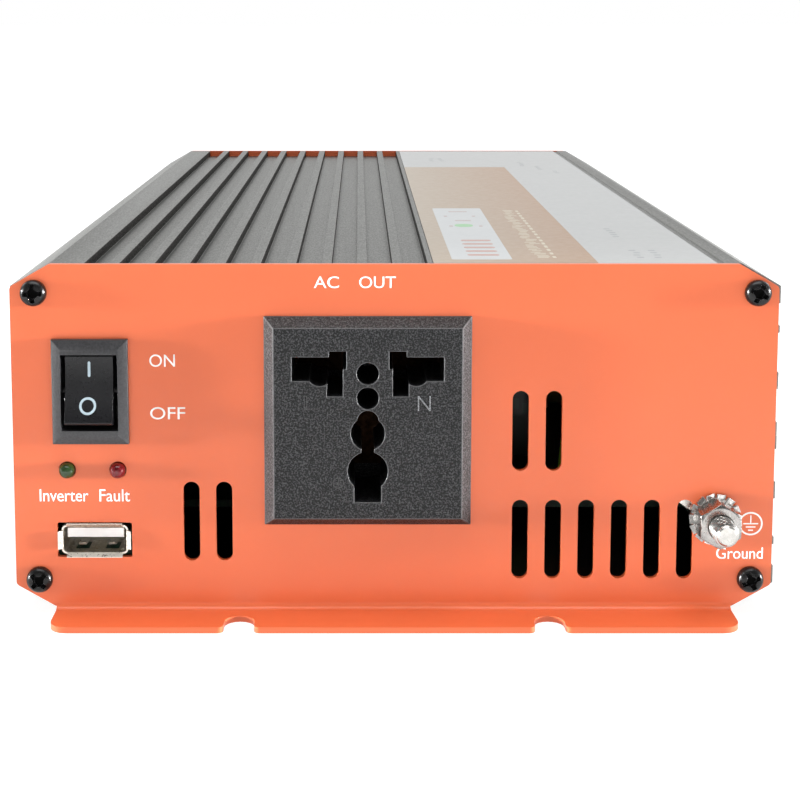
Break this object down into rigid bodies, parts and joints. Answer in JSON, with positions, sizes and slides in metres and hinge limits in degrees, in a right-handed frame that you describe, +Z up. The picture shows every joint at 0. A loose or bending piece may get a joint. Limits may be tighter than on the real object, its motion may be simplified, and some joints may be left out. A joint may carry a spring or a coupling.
{
  "type": "power inverter",
  "caption": "Power inverter in a ribbed aluminium case with painted end panels, a rocker switch, universal AC outlet, USB port, ground stud, rear fan and DC terminals.",
  "frame": {"origin": "on the floor, under the middle of the object", "axes": "+Z up, the front panel with the AC outlet faces -Y, +X to the right of someone facing the front panel"},
  "size_m": [0.1518, 0.3084, 0.071],
  "materials": {
    "anodised_aluminium": "satin anodised, fine drawn lines",
    "orange_paint": "satin powder coat",
    "black_screw": "black oxide, semi-gloss",
    "label_film": "printed film, satin",
    "black_gloss": "glossy moulded plastic",
    "black_grain": "fine-grained moulded plastic",
    "brass": "plain, bright",
    "green_lens": "translucent",
    "red_lens": "translucent",
    "circuit_board": "solder mask, semi-gloss",
    "bright_steel": "nickel plated",
    "white_plastic": "plain moulded",
    "black_plastic": "moulded, satin",
    "red_plastic": "moulded, satin",
    "black_knob": "moulded, satin",
    "copper": "bare or lacquered copper",
    "ferrite": "sintered, matt",
    "powdered_iron": "coated, matt",
    "winding_tape": "polyester tape",
    "capacitor_sleeve": "shrink sleeve",
    "insulating_sheet": "silicone-coated cloth",
    "plain_aluminium": "mill finish",
    "fuse_body": "tinted clear plastic",
    "wire_brown": "PVC insulation",
    "wire_orange": "PVC insulation",
    "wire_green_yellow": "PVC insulation"
  },
  "bodies": {
    "root": {"top_shell": "anodised_aluminium", "bottom_shell": "anodised_aluminium", "front_panel": "orange_paint", "rear_panel": "orange_paint", "front_screws": "black_screw", "rear_screws": "black_screw", "top_label": "label_film", "switch_housing": "black_gloss", "switch_terminals": "brass", "socket_plate": "black_grain", "socket_rear_cover": "black_grain", "socket_contacts": "brass", "led_green": "green_lens", "led_red": "red_lens", "led_board": "circuit_board", "usb_shell": "bright_steel", "usb_tongue": "white_plastic", "usb_contacts": "brass", "usb_board": "circuit_board", "board_spacers": "white_plastic", "ground_stud": "bright_steel", "ground_ring_terminal": "bright_steel", "fan_frame": "black_plastic", "fan_stator": "copper", "fan_guard": "bright_steel", "fan_screws": "bright_steel", "fan_nuts": "bright_steel", "terminal_base_red": "red_plastic", "terminal_base_black": "black_knob", "terminal_studs": "brass", "terminal_nuts": "bright_steel", "main_board": "circuit_board", "transformer_bobbins": "white_plastic", "transformer_cores": "ferrite", "transformer_windings": "winding_tape", "input_capacitors": "capacitor_sleeve", "output_capacitors": "capacitor_sleeve", "power_transistors": "black_plastic", "insulating_strips": "insulating_sheet", "clamp_bars": "plain_aluminium", "clamp_screws": "bright_steel", "fuses": "fuse_body", "fuse_holders": "black_plastic", "choke_core": "powdered_iron", "choke_winding": "copper", "control_board": "circuit_board", "control_chips": "black_plastic", "buzzer": "black_plastic", "dc_busbars": "copper", "socket_wires": "wire_brown", "switch_wires": "wire_orange", "ground_wire": "wire_green_yellow"},
    "rocker": {"switch_rocker": "black_gloss"},
    "ground_washer": {"ground_washer": "bright_steel"},
    "ground_nut": {"ground_nut": "bright_steel"},
    "fan_rotor": {"fan_rotor": "black_plastic"},
    "red_washer": {"terminal_washer_red": "brass"},
    "red_knob": {"terminal_knob_red": "red_plastic"},
    "black_washer": {"terminal_washer_black": "brass"},
    "black_knob": {"terminal_knob_black": "black_knob"}
  },
  "joints": [
    {"name": "rocker_tilt", "type": "hinge", "parent": "root", "child": "rocker", "pos_m": [-0.06015, -0.1418, 0.0457], "axis": [1, 0, 0], "range_deg": [0, 22]},
    {"name": "fan_spin", "type": "hinge", "parent": "root", "child": "fan_rotor", "pos_m": [0, 0.1192, 0.03635], "axis": [0, 1, 0], "continuous": true},
    {"name": "ground_nut_slide", "type": "slide", "parent": "root", "child": "ground_washer", "axis": [0, -1, 0], "range_m": [0, 0.0024]},
    {"name": "ground_nut_spin", "type": "hinge", "parent": "ground_washer", "child": "ground_nut", "pos_m": [0.0637, -0.14645, 0.0198], "axis": [0, -1, 0], "range_deg": [0, 1081]},
    {"name": "red_knob_slide", "type": "slide", "parent": "root", "child": "red_washer", "axis": [0, 1, 0], "range_m": [0, 0.00375]},
    {"name": "red_knob_spin", "type": "hinge", "parent": "red_washer", "child": "red_knob", "pos_m": [0.052, 0.1432, 0.03635], "axis": [0, 1, 0], "range_deg": [0, 1081]},
    {"name": "black_knob_slide", "type": "slide", "parent": "root", "child": "black_washer", "axis": [0, 1, 0], "range_m": [0, 0.00375]},
    {"name": "black_knob_spin", "type": "hinge", "parent": "black_washer", "child": "black_knob", "pos_m": [-0.052, 0.1432, 0.03635], "axis": [0, 1, 0], "range_deg": [0, 1081]}
  ],
  "couplings": [
    {"joint": "ground_nut_spin", "follows": "ground_nut_slide", "rad_per_m": 7854},
    {"joint": "red_knob_spin", "follows": "red_knob_slide", "rad_per_m": 5026.5},
    {"joint": "black_knob_spin", "follows": "black_knob_slide", "rad_per_m": 5026.5}
  ]
}
